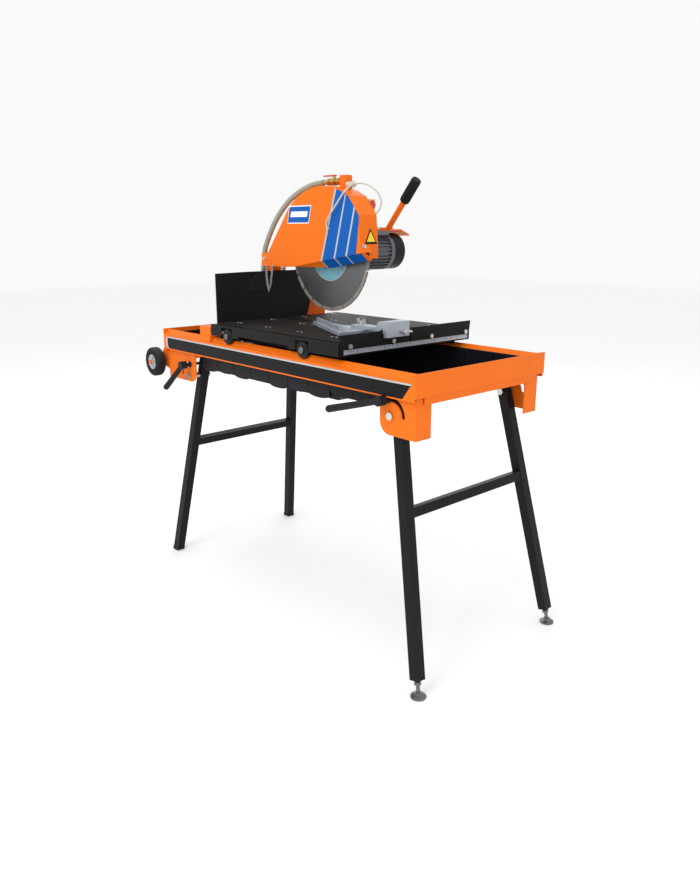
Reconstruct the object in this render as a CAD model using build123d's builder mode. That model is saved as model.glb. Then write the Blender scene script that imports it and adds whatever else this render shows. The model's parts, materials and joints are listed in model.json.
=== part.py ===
from build123d import *
import os
from math import atan2, cos, degrees, hypot, radians, sin, sqrt, tan

# Masonry saw on folding legs. Millimetres, +Z up, the operator stands at +X.
# The origin is on the floor, below the saw arbor and midway between the two sides.

# ---- driving dimensions -------------------------------------------------------------
sheet = 2.5
plate = 4.0
fit_gap = 0.3
running_fit = 0.05

# frame
frame_front = 602.0
frame_rear = -574.0
half_width = 260.0
rail_bottom = 742.0
rail_face_top = 792.0
ridge_y = 240.0
ridge_top = 807.8
ridge_rise = 14.0
rail_inner_depth = 34.0
rail_return = 8.0
panel_top = 810.0
panel_fold = 753.0
panel_bottom = 731.0
panel_recess = 5.0

# leg brackets and legs
bracket_y = 245.0
bracket_bottom = 644.0
bracket_flange = 54.0
front_bracket_length = 122.0
rear_bracket_length = 172.0
leg_tube = 28.0
leg_wall = 2.0
front_pivot_setback = 94.0
front_pivot_x = frame_front - front_pivot_setback
front_pivot_z = 693.0
front_lean = 12.2
front_pivot_half = 213.0
front_foot_half = 283.0
rear_pivot_x = -442.0
rear_pivot_z = 661.0
rear_lean = 10.8
rear_pivot_half = 191.5
rear_foot_half = 256.0
front_fold = 97.0
rear_fold = 93.0
front_brace_z = 451.0
rear_brace_z = 419.0
clamp_radius = 42.0
clamp_stud_r = 5.0
pivot_bolt_r = 6.0
front_leg_end_z = 44.0
foot_pad_r = 20.0
foot_pad_height = 14.0
foot_stud_r = 5.0

# tank
tank_half_width = 221.0
tank_wall = 4.0
tank_rim_z = 797.0
tank_step_z = 753.0
tank_front_x = 586.0
tank_rear_x = -562.0
sump_front_x = 440.0
sump_rear_x = -385.0
sump_deep_front_x = 300.0
sump_shallow_z = 704.0
sump_deep_z = 693.0

# transport wheels
transport_wheel_r = 50.0
transport_wheel_width = 30.0
transport_hub_r = 26.0
axle_r = 7.0
axle_x = -633.0
axle_z = 690.0
axle_wheel_y = 265.0

# cart
cart_front = 333.0
cart_rear = -267.0
cart_half = 261.0
deck_top = 855.0
deck_sheet = 3.0
skirt_depth = 34.0
blade_slot = 12.0
fence_top = 874.0
fence_bottom = 822.0
cart_wheel_r = 23.0
cart_groove_r = 12.0
cart_wheel_width = 28.0
cart_wheel_front_x = 181.0
cart_wheel_rear_x = -183.0
cart_wheel_bolt_r = 5.0

# head
arbor_z = 1070.0
blade_r = 175.0
blade_core = 2.4
blade_kerf = 3.2
segment_height = 12.0
segment_count = 21
gullet = 3.0
guard_near_y = -52.0
guard_seam_y = -18.0
guard_far_y = 16.0
guard_sheet = 2.0
pivot_x = -311.0
pivot_z = 1040.0
pivot_shaft_r = 12.5
pivot_hub_r = 24.0
motor_body_r = 49.0
motor_fin_r = 57.0
motor_start_y = 40.0
motor_end_y = 224.0
fan_cover_end_y = 274.0
motor_shaft_r = 12.0
plate_z = 1132.0
plate_sheet = 5.0
handle_r = 9.0
grip_r = 15.0


def across(y):
    """Sketch plane facing -Y at the given y: sketch axes are X and Z."""
    return Plane.XZ.offset(-y)


def along(x):
    """Sketch plane facing +X at the given x: sketch axes are Y and Z."""
    return Plane.YZ.offset(x)


def level(z):
    """Sketch plane facing +Z at the given height."""
    return Plane.XY.offset(z)


def save(part, label):
    """Name a finished piece and write it to its own file."""
    part.label = label
    export_step(part, f"parts/{label}.step")


os.makedirs("parts", exist_ok=True)

# ---- frame ---------------------------------------------------------------------------
ridge_peak = ridge_top - sheet * sqrt(2) / 2
rail_outer_line = half_width - sheet / 2
ridge_outer_y = ridge_y + ridge_rise
ridge_inner_y = ridge_y - ridge_rise
ridge_base = ridge_peak - ridge_rise
rail_length = frame_front - frame_rear - 2 * sheet

with BuildPart() as side_rail_near:
    with BuildSketch(along(frame_rear + sheet)):
        with BuildLine():
            Polyline(
                (-rail_outer_line + rail_return, rail_bottom + sheet / 2),
                (-rail_outer_line, rail_bottom + sheet / 2),
                (-rail_outer_line, ridge_base),
                (-ridge_outer_y, ridge_base),
                (-ridge_y, ridge_peak),
                (-ridge_inner_y, ridge_base),
                (-ridge_inner_y, ridge_base - rail_inner_depth),
            )
        trace(line_width=sheet)
    extrude(amount=rail_length)

with BuildPart() as side_rail_far:
    mirror(side_rail_near.part, about=Plane.XZ)

with BuildPart() as front_end_panel:
    with BuildSketch(across(half_width)):
        with BuildLine():
            Polyline(
                (frame_front - sheet / 2, panel_top),
                (frame_front - sheet / 2, panel_fold),
                (frame_front - sheet / 2 - panel_recess, panel_fold - panel_recess),
                (frame_front - sheet / 2 - panel_recess, panel_bottom),
            )
        trace(line_width=sheet)
    extrude(amount=2 * half_width)
    # the recessed lower band stays clear of the rails' ends
    with BuildSketch(level(panel_bottom - 1)):
        for side in (-1, 1):
            with Locations((frame_front - panel_recess - sheet, side * (half_width - 2))):
                Rectangle(2 * panel_recess, 2 * (half_width - ridge_inner_y + 2))
    extrude(amount=panel_fold - panel_bottom + 1 + sheet, mode=Mode.SUBTRACT)

with BuildPart() as rear_end_panel:
    with BuildSketch(along(frame_rear)):
        with Locations((0, (panel_top + panel_bottom) / 2)):
            Rectangle(2 * half_width, panel_top - panel_bottom)
    extrude(amount=sheet)

# ---- leg brackets ----------------------------------------------------------------------
bracket_top = rail_face_top - 22.0
rail_inside = half_width - sheet


def bracket(x_end, length, lobe_x, lobe_z, slot_from, slot_to, inward):
    """One near-side leg bracket: a side plate with a fold across the end of the frame."""
    low_corner = x_end + inward * length
    with BuildPart() as piece:
        with BuildSketch(across(-bracket_y + plate)):
            with BuildLine():
                Polyline(
                    (x_end, bracket_bottom),
                    (low_corner, bracket_bottom),
                    (low_corner, bracket_top),
                    (x_end, bracket_top),
                    close=True,
                )
            make_face()
            fillet(vertices().sort_by(Axis.Y)[0:2].sort_by(Axis.X)[0 if inward < 0 else -1], radius=34)
            with Locations((lobe_x, lobe_z)):
                Circle(pivot_bolt_r + running_fit, mode=Mode.SUBTRACT)
            middle = radians((slot_from + slot_to) / 2)
            slot_points = [
                (lobe_x + clamp_radius * cos(angle), lobe_z + clamp_radius * sin(angle))
                for angle in (radians(slot_from), middle, radians(slot_to))
            ]
            with BuildLine():
                slot_line = ThreePointArc(*slot_points)
            SlotArc(slot_line, height=2 * clamp_stud_r + 2, mode=Mode.SUBTRACT)
        extrude(amount=plate)
        # end fold
        with BuildSketch(level(bracket_bottom)):
            with Locations((x_end + inward * plate / 2, -bracket_y + bracket_flange / 2)):
                Rectangle(plate, bracket_flange)
        extrude(amount=panel_bottom - bracket_bottom - 2)
        # top fold, out to the rail's inner face
        with BuildSketch(level(bracket_top - plate)):
            with Locations((x_end + inward * length / 2, -(bracket_y + rail_inside) / 2 + plate / 2)):
                Rectangle(length, rail_inside - bracket_y + plate)
        extrude(amount=plate)
    return piece.part


front_up = 90 + front_lean
rear_up = 90 - rear_lean
with BuildPart() as leg_brackets:
    add(bracket(frame_front - 10, front_bracket_length, front_pivot_x, front_pivot_z,
                front_up, front_up - front_fold, -1))
    add(bracket(frame_rear + sheet, rear_bracket_length, rear_pivot_x, rear_pivot_z,
                rear_up, rear_up + rear_fold, 1))
    mirror(about=Plane.XZ)


# ---- pivot bolts: fixed in the brackets, with spacers out to the bracket ---------------
with BuildPart() as leg_pivot_bolts:
    for bolt_x, bolt_z, leg_half in (
        (front_pivot_x, front_pivot_z, front_pivot_half),
        (rear_pivot_x, rear_pivot_z, rear_pivot_half),
    ):
        with BuildSketch(across(-bracket_y - 7)):
            with Locations((bolt_x, bolt_z)):
                RegularPolygon(radius=11, side_count=6)
        extrude(amount=-7)
        with BuildSketch(across(-bracket_y)):
            with Locations((bolt_x, bolt_z)):
                Circle(pivot_bolt_r)
        extrude(amount=-(bracket_y - leg_half + leg_tube / 2 + 8))
        with BuildSketch(across(-bracket_y + plate)):
            with Locations((bolt_x, bolt_z)):
                Circle(pivot_bolt_r + 3)
        extrude(amount=-(bracket_y - plate - leg_half - leg_tube / 2 - 1.2))
        with BuildSketch(across(-leg_half + leg_tube / 2 + 1.2)):
            with Locations((bolt_x, bolt_z)):
                RegularPolygon(radius=10, side_count=6)
        extrude(amount=-7)
    mirror(about=Plane.XZ)

# ---- folding leg frames ----------------------------------------------------------------


def leg_frame(pivot_x, pivot_z, lean, out, pivot_half, foot_half, end_z, brace_z, stub):
    """Two splayed square tubes joined by a cross brace, made in the plane they fold in."""
    run = (pivot_z - end_z) / cos(radians(lean))
    spread = (foot_half - pivot_half) * run / (pivot_z / cos(radians(lean)))
    down = Vector(out * sin(radians(lean)), 0, -cos(radians(lean)))
    tilt = atan2(spread, run)
    with BuildPart() as piece:
        top = Vector(pivot_x, -pivot_half, pivot_z) - down * stub + Vector(0, stub * tan(tilt), 0)
        axis = down * cos(tilt) + Vector(0, -sin(tilt), 0)
        across_leg = (cos(radians(lean)) * out, 0, sin(radians(lean)))
        with BuildSketch(Plane(origin=top, x_dir=across_leg, z_dir=axis)):
            Rectangle(leg_tube, leg_tube)
            Rectangle(leg_tube - 2 * leg_wall, leg_tube - 2 * leg_wall, mode=Mode.SUBTRACT)
        extrude(amount=(run + stub) / cos(tilt))
        # running holes for the pivot bolt and the clamp stud
        with BuildSketch(across(-pivot_half - leg_tube)):
            with Locations((pivot_x, pivot_z)):
                Circle(pivot_bolt_r + running_fit)
            with Locations((pivot_x - down.X * clamp_radius, pivot_z - down.Z * clamp_radius)):
                Circle(clamp_stud_r + running_fit)
        extrude(amount=-2 * leg_tube, mode=Mode.SUBTRACT)
        mirror(about=Plane.XZ)
        # cross brace between the tubes' inner faces
        reach = (pivot_z - brace_z) / cos(radians(lean))
        middle = Vector(pivot_x, 0, pivot_z) + down * reach
        brace_half = pivot_half + reach * tan(tilt) - leg_tube / 2 / cos(tilt)
        brace_end = middle - Vector(0, brace_half + 0.8, 0)
        with BuildSketch(Plane(origin=brace_end, x_dir=across_leg, z_dir=(0, 1, 0))):
            Rectangle(leg_tube - 3, leg_tube - 3)
        extrude(amount=2 * brace_half + 1.6)
    return piece.part, down, axis, run / cos(tilt)


front_stub = clamp_radius + 14
front_legs, front_down, front_axis, front_run = leg_frame(
    front_pivot_x, front_pivot_z, front_lean, 1, front_pivot_half, front_foot_half,
    front_leg_end_z, front_brace_z, front_stub)
rear_end_z = 4.0
rear_legs, rear_down, rear_axis, rear_run = leg_frame(
    rear_pivot_x, rear_pivot_z, rear_lean, -1, rear_pivot_half, rear_foot_half,
    rear_end_z + 5, rear_brace_z, front_stub)

# plastic feet pushed into the rear tubes' ends, cut flat on the floor
rear_end = Vector(rear_pivot_x, -rear_pivot_half, rear_pivot_z) + rear_axis * rear_run
rear_plane_x = (-cos(radians(rear_lean)), 0, sin(radians(rear_lean)))
with BuildPart() as rear_leg_caps:
    with BuildSketch(Plane(origin=rear_end, x_dir=rear_plane_x, z_dir=rear_axis)):
        Rectangle(leg_tube + 2, leg_tube + 2)
    extrude(amount=20)
    with BuildSketch(Plane(origin=rear_end - rear_axis * 24, x_dir=rear_plane_x, z_dir=rear_axis)):
        Rectangle(leg_tube - 2 * leg_wall, leg_tube - 2 * leg_wall)
    extrude(amount=24)
    with BuildSketch(level(-40)):
        with Locations((rear_end.X, rear_end.Y)):
            Rectangle(120, 120)
    extrude(amount=40, mode=Mode.SUBTRACT)
    mirror(about=Plane.XZ)

# threaded end plugs of the front tubes and the levelling feet in them
front_end = Vector(front_pivot_x, -front_pivot_half, front_pivot_z) + front_axis * front_run
front_plane_x = (cos(radians(front_lean)), 0, sin(radians(front_lean)))
with BuildPart() as front_leg_frame:
    add(front_legs)
    with BuildSketch(Plane(origin=front_end - front_axis * 16, x_dir=front_plane_x, z_dir=front_axis)):
        Rectangle(leg_tube - leg_wall, leg_tube - leg_wall)
        Circle(foot_stud_r + running_fit, mode=Mode.SUBTRACT)
    extrude(amount=16)
    mirror(about=Plane.XZ)

with BuildPart() as levelling_foot_near:
    stud_top = front_end - front_axis * 20
    to_pad = (stud_top.Z - foot_pad_height + 3) / -front_axis.Z
    with BuildSketch(Plane(origin=stud_top, x_dir=front_plane_x, z_dir=front_axis)):
        Circle(foot_stud_r)
    extrude(amount=to_pad)
    pad_at = stud_top + front_axis * to_pad
    with BuildSketch(Plane(origin=front_end + front_axis * 6, x_dir=front_plane_x, z_dir=front_axis)):
        RegularPolygon(radius=9.5, side_count=6)
    extrude(amount=7)
    with BuildSketch(across(pad_at.Y)):
        with BuildLine():
            Polyline(
                (pad_at.X, 0), (pad_at.X + foot_pad_r, 0), (pad_at.X + foot_pad_r, 4),
                (pad_at.X + 10, 8), (pad_at.X + 9, foot_pad_height), (pad_at.X, foot_pad_height),
                close=True,
            )
        make_face()
    revolve(axis=Axis((pad_at.X, pad_at.Y, 0), (0, 0, 1)))
with BuildPart() as levelling_foot_far:
    mirror(levelling_foot_near.part, about=Plane.XZ)


# ---- clamp levers: stud, washer, hub and handle in one ---------------------------------
def clamp_lever(x, z, inner_y, tip_x, tip_z):
    """Clamp lever on the near side, its stud running inward to inner_y."""
    lever_y = -half_width - 14
    with BuildPart() as piece:
        with BuildSketch(across(lever_y)):
            with Locations((x, z)):
                Circle(clamp_stud_r)
        extrude(amount=lever_y - inner_y)
        with BuildSketch(across(-bracket_y - fit_gap)):
            with Locations((x, z)):
                Circle(10)
        extrude(amount=3)
        with BuildSketch(across(-half_width - 1.5)):
            with Locations((x, z)):
                Circle(13)
        extrude(amount=22)
        # tapered handle, leaning outward from the hub
        reach = Vector(tip_x - x, -16, tip_z - z)
        turned = Plane(origin=(x, lever_y, z), z_dir=reach)
        far = Plane(origin=Vector(x, lever_y, z) + reach, x_dir=turned.x_dir, z_dir=reach)
        with BuildSketch(turned):
            Circle(8)
        with BuildSketch(far):
            Circle(10)
        loft()
        with Locations(Vector(x, lever_y, z) + reach):
            Sphere(10)
    return piece.part


def stud_place(pivot_x, pivot_z, down):
    """Where the clamp stud sits: on the leg, one clamp radius above the pivot."""
    return pivot_x - down.X * clamp_radius, pivot_z - down.Z * clamp_radius


front_stud = stud_place(front_pivot_x, front_pivot_z, front_down)
rear_stud = stud_place(rear_pivot_x, rear_pivot_z, rear_down)
levers = {}
for end_name, stud, half, tip in (
    ("front", front_stud, front_pivot_half, (-170, -46)),
    ("rear", rear_stud, rear_pivot_half, (-88, -84)),
):
    near_lever = clamp_lever(stud[0], stud[1], -half + leg_tube / 2, stud[0] + tip[0], stud[1] + tip[1])
    levers[f"clamp_lever_{end_name}_near"] = near_lever
    with BuildPart() as far_lever:
        mirror(near_lever, about=Plane.XZ)
    levers[f"clamp_lever_{end_name}_far"] = far_lever.part

# ---- water tank ------------------------------------------------------------------------
drain_x = -330.0
drain_r = 12.0
with BuildPart() as water_tank:
    tank_middle = (tank_front_x + tank_rear_x) / 2
    with BuildSketch(level(tank_step_z)):
        with Locations((tank_middle, 0)):
            Rectangle(tank_front_x - tank_rear_x, 2 * tank_half_width)
    extrude(amount=tank_rim_z - tank_step_z)
    with BuildSketch(across(tank_half_width)):
        with BuildLine():
            Polyline(
                (sump_rear_x, tank_step_z), (sump_rear_x + 8, sump_deep_z),
                (sump_deep_front_x - 12, sump_deep_z), (sump_deep_front_x, sump_shallow_z),
                (sump_front_x - 8, sump_shallow_z), (sump_front_x, tank_step_z),
                close=True,
            )
        make_face()
    extrude(amount=2 * tank_half_width)
    offset(amount=-tank_wall, openings=faces().sort_by(Axis.Z)[-1])
    # ribs pressed into the long walls
    for side in (-1, 1):
        with BuildSketch(level(sump_deep_z + 14)):
            with Locations(*[
                (sump_rear_x + 34 + 46 * step, side * (tank_half_width + 0.8))
                for step in range(int((sump_front_x - sump_rear_x - 40) / 46))
            ]):
                Rectangle(14, 3)
        extrude(amount=tank_rim_z - 8 - sump_deep_z - 14)
    with Locations((drain_x, 0, sump_deep_z)):
        Cylinder(drain_r + running_fit, 3 * tank_wall, mode=Mode.SUBTRACT)

with BuildPart() as drain_plug:
    with BuildSketch(level(sump_deep_z - 12)):
        with Locations((drain_x, 0)):
            Circle(drain_r + 8)
    extrude(amount=12 - fit_gap)
    with BuildSketch(level(sump_deep_z - fit_gap)):
        with Locations((drain_x, 0)):
            Circle(drain_r)
    extrude(amount=tank_wall + 4)
    with BuildSketch(level(sump_deep_z - 22)):
        with Locations((drain_x, 0)):
            Rectangle(30, 6)
    extrude(amount=10)

# ---- transport wheels --------------------------------------------------------------------
with BuildPart() as transport_axle:
    with BuildSketch(across(-axle_wheel_y + 34)):
        with BuildLine():
            Polyline(
                (frame_rear, 664), (frame_rear, 770), (frame_rear - 22, 770),
                (axle_x - 14, axle_z + 6), (axle_x - 14, axle_z - 14), (axle_x + 10, axle_z - 14),
                close=True,
            )
        make_face()
    extrude(amount=6)
    with BuildSketch(along(frame_rear - 5)):
        with Locations((-axle_wheel_y + 56, 750)):
            Rectangle(50, 38)
    extrude(amount=5)
    mirror(about=Plane.XZ)
    with BuildSketch(across(axle_wheel_y + transport_wheel_width / 2 + 8)):
        with Locations((axle_x, axle_z)):
            Circle(axle_r)
    extrude(amount=2 * axle_wheel_y + transport_wheel_width + 16)


def transport_wheel(side):
    """Tyre on a spoked hub, running on the axle."""
    with BuildPart() as tyre:
        with BuildSketch(across(side * axle_wheel_y + transport_wheel_width / 2)):
            with Locations((axle_x, axle_z)):
                Circle(transport_wheel_r)
                Circle(transport_hub_r, mode=Mode.SUBTRACT)
        extrude(amount=transport_wheel_width)
        fillet(edges().filter_by(GeomType.CIRCLE).sort_by(SortBy.RADIUS)[-2:], radius=8)
    with BuildPart() as hub:
        with BuildSketch(across(side * axle_wheel_y + transport_wheel_width / 2 - 1)):
            with Locations((axle_x, axle_z)):
                Circle(transport_hub_r)
                Circle(axle_r + running_fit, mode=Mode.SUBTRACT)
        extrude(amount=transport_wheel_width - 2)
        with BuildSketch(across(side * axle_wheel_y + transport_wheel_width / 2 + 2)):
            with Locations((axle_x, axle_z)):
                Circle(13)
                Circle(axle_r + running_fit, mode=Mode.SUBTRACT)
        extrude(amount=transport_wheel_width + 4)
    return tyre.part, hub.part


near_tyre, near_hub = transport_wheel(-1)
far_tyre, far_hub = transport_wheel(1)

# ---- cart --------------------------------------------------------------------------------
mat_thickness = 3.0
deck_sheet_top = deck_top - mat_thickness
cart_middle = (cart_front + cart_rear) / 2
cart_length = cart_front - cart_rear
wheel_z = ridge_top + cart_groove_r + fit_gap * sqrt(2)
web_y = ridge_inner_y - 6
slot_front = 296.0
screw_columns = (-208, -60, 90, 240)
screw_rows = (-193, -64, 64, 193)

with BuildPart() as cart_deck:
    with BuildSketch(level(deck_sheet_top)):
        with Locations((cart_middle, 0)):
            Rectangle(cart_length, 2 * cart_half)
    extrude(amount=-deck_sheet)
    # side skirts with arches over the wheels and a raised stretch between them
    with BuildSketch(across(-cart_half + 2)):
        with Locations((cart_middle, deck_sheet_top - skirt_depth / 2)):
            Rectangle(cart_length, skirt_depth)
        for wheel_x in (cart_wheel_rear_x, cart_wheel_front_x):
            with Locations((wheel_x + 2, wheel_z - 12)):
                Rectangle(2 * cart_wheel_r + 12, 2 * cart_wheel_r + 30, mode=Mode.SUBTRACT)
        with Locations((0, deck_sheet_top - skirt_depth)):
            Rectangle(240, 16, mode=Mode.SUBTRACT)
    extrude(amount=2)
    # webs that carry the wheel bolts
    with BuildSketch(across(-web_y + 3)):
        with Locations((cart_middle, (deck_sheet_top + 806) / 2)):
            Rectangle(cart_length - 40, deck_sheet_top - 806)
        with Locations((cart_wheel_rear_x, wheel_z), (cart_wheel_front_x, wheel_z)):
            Circle(cart_wheel_bolt_r, mode=Mode.SUBTRACT)
    extrude(amount=3)
    mirror(about=Plane.XZ)
    # front flange behind the fence
    with BuildSketch(along(cart_front - 3)):
        with Locations((0, deck_sheet_top - skirt_depth / 2)):
            Rectangle(2 * cart_half - 8, skirt_depth)
    extrude(amount=3)
    with BuildSketch(level(deck_sheet_top)):
        with Locations(((cart_rear + slot_front) / 2 - 1, 0)):
            Rectangle(slot_front - cart_rear + 2, blade_slot)
    extrude(amount=-deck_sheet, mode=Mode.SUBTRACT)

with BuildPart() as deck_mat:
    with BuildSketch(level(deck_sheet_top)):
        with Locations((cart_middle, 0)):
            RectangleRounded(cart_length - 24, 2 * cart_half - 24, 10)
        with Locations(((cart_rear + slot_front) / 2 - 1, 0)):
            Rectangle(slot_front - cart_rear + 2, blade_slot + 6, mode=Mode.SUBTRACT)
    extrude(amount=mat_thickness)

fence_bolts = (-225, -67, 86, 236)
fence_bolt_z = 843.0
fence_sheet = 4.0
ruler_low = fence_bottom + 1
ruler_height = 12.0
with BuildPart() as fence_plate:
    with BuildSketch(along(cart_front)):
        Polygon(
            (-cart_half, fence_top), (-cart_half + 9, fence_bottom),
            (cart_half - 9, fence_bottom), (cart_half, fence_top), align=None,
        )
        with Locations((0, fence_top)):
            Rectangle(6, 2 * (fence_top - deck_sheet_top + 14), mode=Mode.SUBTRACT)
        with Locations(*[(y, fence_bolt_z) for y in fence_bolts]):
            Circle(3, mode=Mode.SUBTRACT)
    extrude(amount=fence_sheet)

with BuildPart() as ruler_strip:
    with BuildSketch(along(cart_front + fence_sheet)):
        with Locations((0, ruler_low + ruler_height / 2)):
            Rectangle(2 * cart_half - 30, ruler_height)
    extrude(amount=1.2)

with BuildPart() as cart_fasteners:
    with BuildSketch(along(cart_front + fence_sheet)):
        with Locations(*[(y, fence_bolt_z) for y in fence_bolts]):
            RegularPolygon(radius=7, side_count=6)
    extrude(amount=5)
    with BuildSketch(along(cart_front)):
        with Locations(*[(y, fence_bolt_z) for y in fence_bolts]):
            Circle(3)
    extrude(amount=fence_sheet)
    with BuildSketch(level(deck_top)):
        for column in screw_columns:
            for row in screw_rows:
                with Locations((column - 9, row), (column + 9, row)):
                    Circle(4)
    extrude(amount=1.6)
    for side in (-1, 1):
        for wheel_x in (cart_wheel_rear_x, cart_wheel_front_x):
            bolt_out = ridge_y + cart_wheel_width / 2
            with BuildSketch(across(side * bolt_out + (side + 1) / 2 * 5)):
                with Locations((wheel_x, wheel_z)):
                    Circle(9)
            extrude(amount=5)
            with BuildSketch(across(side * (bolt_out + web_y) / 2 + (bolt_out - web_y) / 2)):
                with Locations((wheel_x, wheel_z)):
                    Circle(cart_wheel_bolt_r)
            extrude(amount=bolt_out - web_y)
            with BuildSketch(across(side * (web_y - 3) + (1 - side) / 2 * 6)):
                with Locations((wheel_x, wheel_z)):
                    RegularPolygon(radius=9, side_count=6)
            extrude(amount=6)


def cart_wheel(x, y):
    """Grooved wheel whose V rides over the rail's ridge."""
    half = cart_wheel_width / 2
    with BuildPart() as wheel:
        with BuildSketch(along(x)):
            Polygon(
                (y - half, wheel_z + cart_wheel_bolt_r + running_fit), (y - half, wheel_z + cart_wheel_r - 2),
                (y - half + 2, wheel_z + cart_wheel_r),
                (y - cart_wheel_r + cart_groove_r, wheel_z + cart_wheel_r),
                (y, wheel_z + cart_groove_r),
                (y + cart_wheel_r - cart_groove_r, wheel_z + cart_wheel_r),
                (y + half - 2, wheel_z + cart_wheel_r),
                (y + half, wheel_z + cart_wheel_r - 2), (y + half, wheel_z + cart_wheel_bolt_r + running_fit),
                align=None,
            )
        revolve(axis=Axis((x, 0, wheel_z), (0, 1, 0)))
    return wheel.part


# ---- angle guide on the fence ---------------------------------------------------------------
guide_y = -65.0
guide_width = 86.0
guide_pivot_x = 214.0
guide_pivot_y = -70.0
guide_plate_z = deck_top + 2.5
guide_plate = 10.0
screw_r = 4.0
with BuildPart() as guide_clamp:
    with BuildSketch(across(guide_y + guide_width / 2)):
        Polygon(
            (cart_front - 26, 877), (cart_front - 12, 897), (cart_front + 22, 897), (cart_front + 22, 856),
            (cart_front + 9, 856), (cart_front + 9, 866), (cart_front + 6, 866),
            (cart_front + 6, fence_top + 3), (cart_front - 3, fence_top + 3),
            (cart_front - 3, 860), (cart_front - 26, 860), align=None,
        )
    extrude(amount=guide_width)
    with BuildSketch(level(guide_plate_z + guide_plate + fit_gap)):
        with Locations(((cart_front - 12 + guide_pivot_x - 22) / 2, guide_pivot_y)):
            Rectangle(cart_front - 12 - guide_pivot_x + 22, 40)
        with Locations((guide_pivot_x, guide_pivot_y)):
            Circle(screw_r, mode=Mode.SUBTRACT)
    extrude(amount=9)
    with BuildSketch(along(cart_front + 6)):
        with Locations((guide_y + 22, 869)):
            Circle(screw_r + running_fit)
    extrude(amount=20, mode=Mode.SUBTRACT)

with BuildPart() as guide_arm:
    with BuildSketch(level(guide_plate_z)):
        Polygon((252, -186), (-4, -66), (12, -40), (120, -62), (232, -40), (262, -120), align=None)
        with Locations((guide_pivot_x, guide_pivot_y)):
            Circle(screw_r + running_fit, mode=Mode.SUBTRACT)
    extrude(amount=guide_plate)
    # upright guiding edge along the long side
    edge_angle = degrees(atan2(-120, 256))
    with BuildSketch(level(guide_plate_z + guide_plate)):
        with Locations(Location((124 + 4, -126 + 8, 0), (0, 0, edge_angle))):
            Rectangle(240, 7)
    extrude(amount=14)


def wing_screw(place, shank):
    """Brass wing screw; the shank runs from the plane against its normal."""
    with BuildPart() as screw:
        with BuildSketch(place):
            Circle(screw_r)
        extrude(amount=-shank)
        with BuildSketch(place):
            Circle(7)
        extrude(amount=8)
        with BuildSketch(place.offset(3)):
            Rectangle(32, 4)
        extrude(amount=13)
        with BuildSketch(place.offset(10)):
            Rectangle(13, 4)
        extrude(amount=6, mode=Mode.SUBTRACT)
    return screw.part


guide_clamp_screw = wing_screw(
    Plane(origin=(cart_front + 22.3, guide_y + 22, 869), x_dir=(0, 1, 0), z_dir=(1, 0, 0)), 14)
guide_pivot_screw = wing_screw(level(guide_plate_z + guide_plate + fit_gap + 9.3).shift_origin(
    (guide_pivot_x, guide_pivot_y, guide_plate_z + guide_plate + fit_gap + 9.3)), 18)

# ---- head stand, splash guard and pivot ---------------------------------------------------------
post = 48.0
beam_low = 810.0
beam_high = 840.0
post_x = pivot_x
near_post_y = 12.0
far_post_y = 197.0
near_post_width = 40.0
far_post_width = 50.0
post_top = pivot_z + 23
tail_x = -366.0
tail_y = 100.0
with BuildPart() as head_stand:
    with BuildSketch(along(post_x - post / 2 - 6)):
        with Locations((0, (beam_low + beam_high) / 2)):
            Rectangle(2 * half_width - 8, beam_high - beam_low)
            Rectangle(2 * half_width - 8 - 8, beam_high - beam_low - 8, mode=Mode.SUBTRACT)
        for side in (-1, 1):
            Polygon(
                (side * 259, beam_low), (side * 259, 794.4), (side * 255.2, 794.4), (side * 239.6, beam_low),
                align=None)
            Polygon(
                (side * 240.4, beam_low), (side * 224.8, 794.4), (side * 222, 794.4), (side * 222, beam_low),
                align=None)
    extrude(amount=post + 12)
    # ledge behind the beam that anchors the lift spring
    with BuildSketch(level(beam_high - 5)):
        Polygon((tail_x - 16, tail_y - 16), (post_x, tail_y - 16), (post_x, tail_y + 16),
                (tail_x - 16, tail_y + 16), align=None)
    extrude(amount=5)
    for post_y, post_width in ((near_post_y, near_post_width), (far_post_y, far_post_width)):
        with BuildSketch(level(beam_high)):
            with Locations((post_x, post_y)):
                Rectangle(post, post_width)
                Rectangle(post - 6, post_width - 6, mode=Mode.SUBTRACT)
        extrude(amount=pivot_z - pivot_hub_r - 8 - beam_high)
        with BuildSketch(across(post_y + post_width / 2)):
            with Locations((post_x, (pivot_z - pivot_hub_r - 8 + post_top) / 2)):
                Rectangle(post, post_top - pivot_z + pivot_hub_r + 8)
            with Locations((post_x, pivot_z)):
                Circle(pivot_shaft_r, mode=Mode.SUBTRACT)
        extrude(amount=post_width)

with BuildPart() as pivot_shaft:
    with BuildSketch(across(far_post_y + far_post_width / 2 + 6)):
        with Locations((pivot_x, pivot_z)):
            Circle(pivot_shaft_r)
    extrude(amount=far_post_y - near_post_y + (far_post_width + near_post_width) / 2 + 8)

splash_x = -274.0
with BuildPart() as splash_guard:
    with BuildSketch(along(splash_x)):
        with BuildLine():
            Polyline(
                (-234, 846), (-234, 1004), (-120, 1006), (142, 1006), (142, 896), (126, 846),
                close=True,
            )
        make_face()
        fillet(vertices().sort_by(Axis.X)[-3:], radius=14)
    extrude(amount=3)
    # stand-off to the near post
    with BuildSketch(along(post_x + post / 2)):
        with Locations((near_post_y, 930)):
            Rectangle(near_post_width - 8, 60)
    extrude(amount=splash_x - post_x - post / 2)

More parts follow.
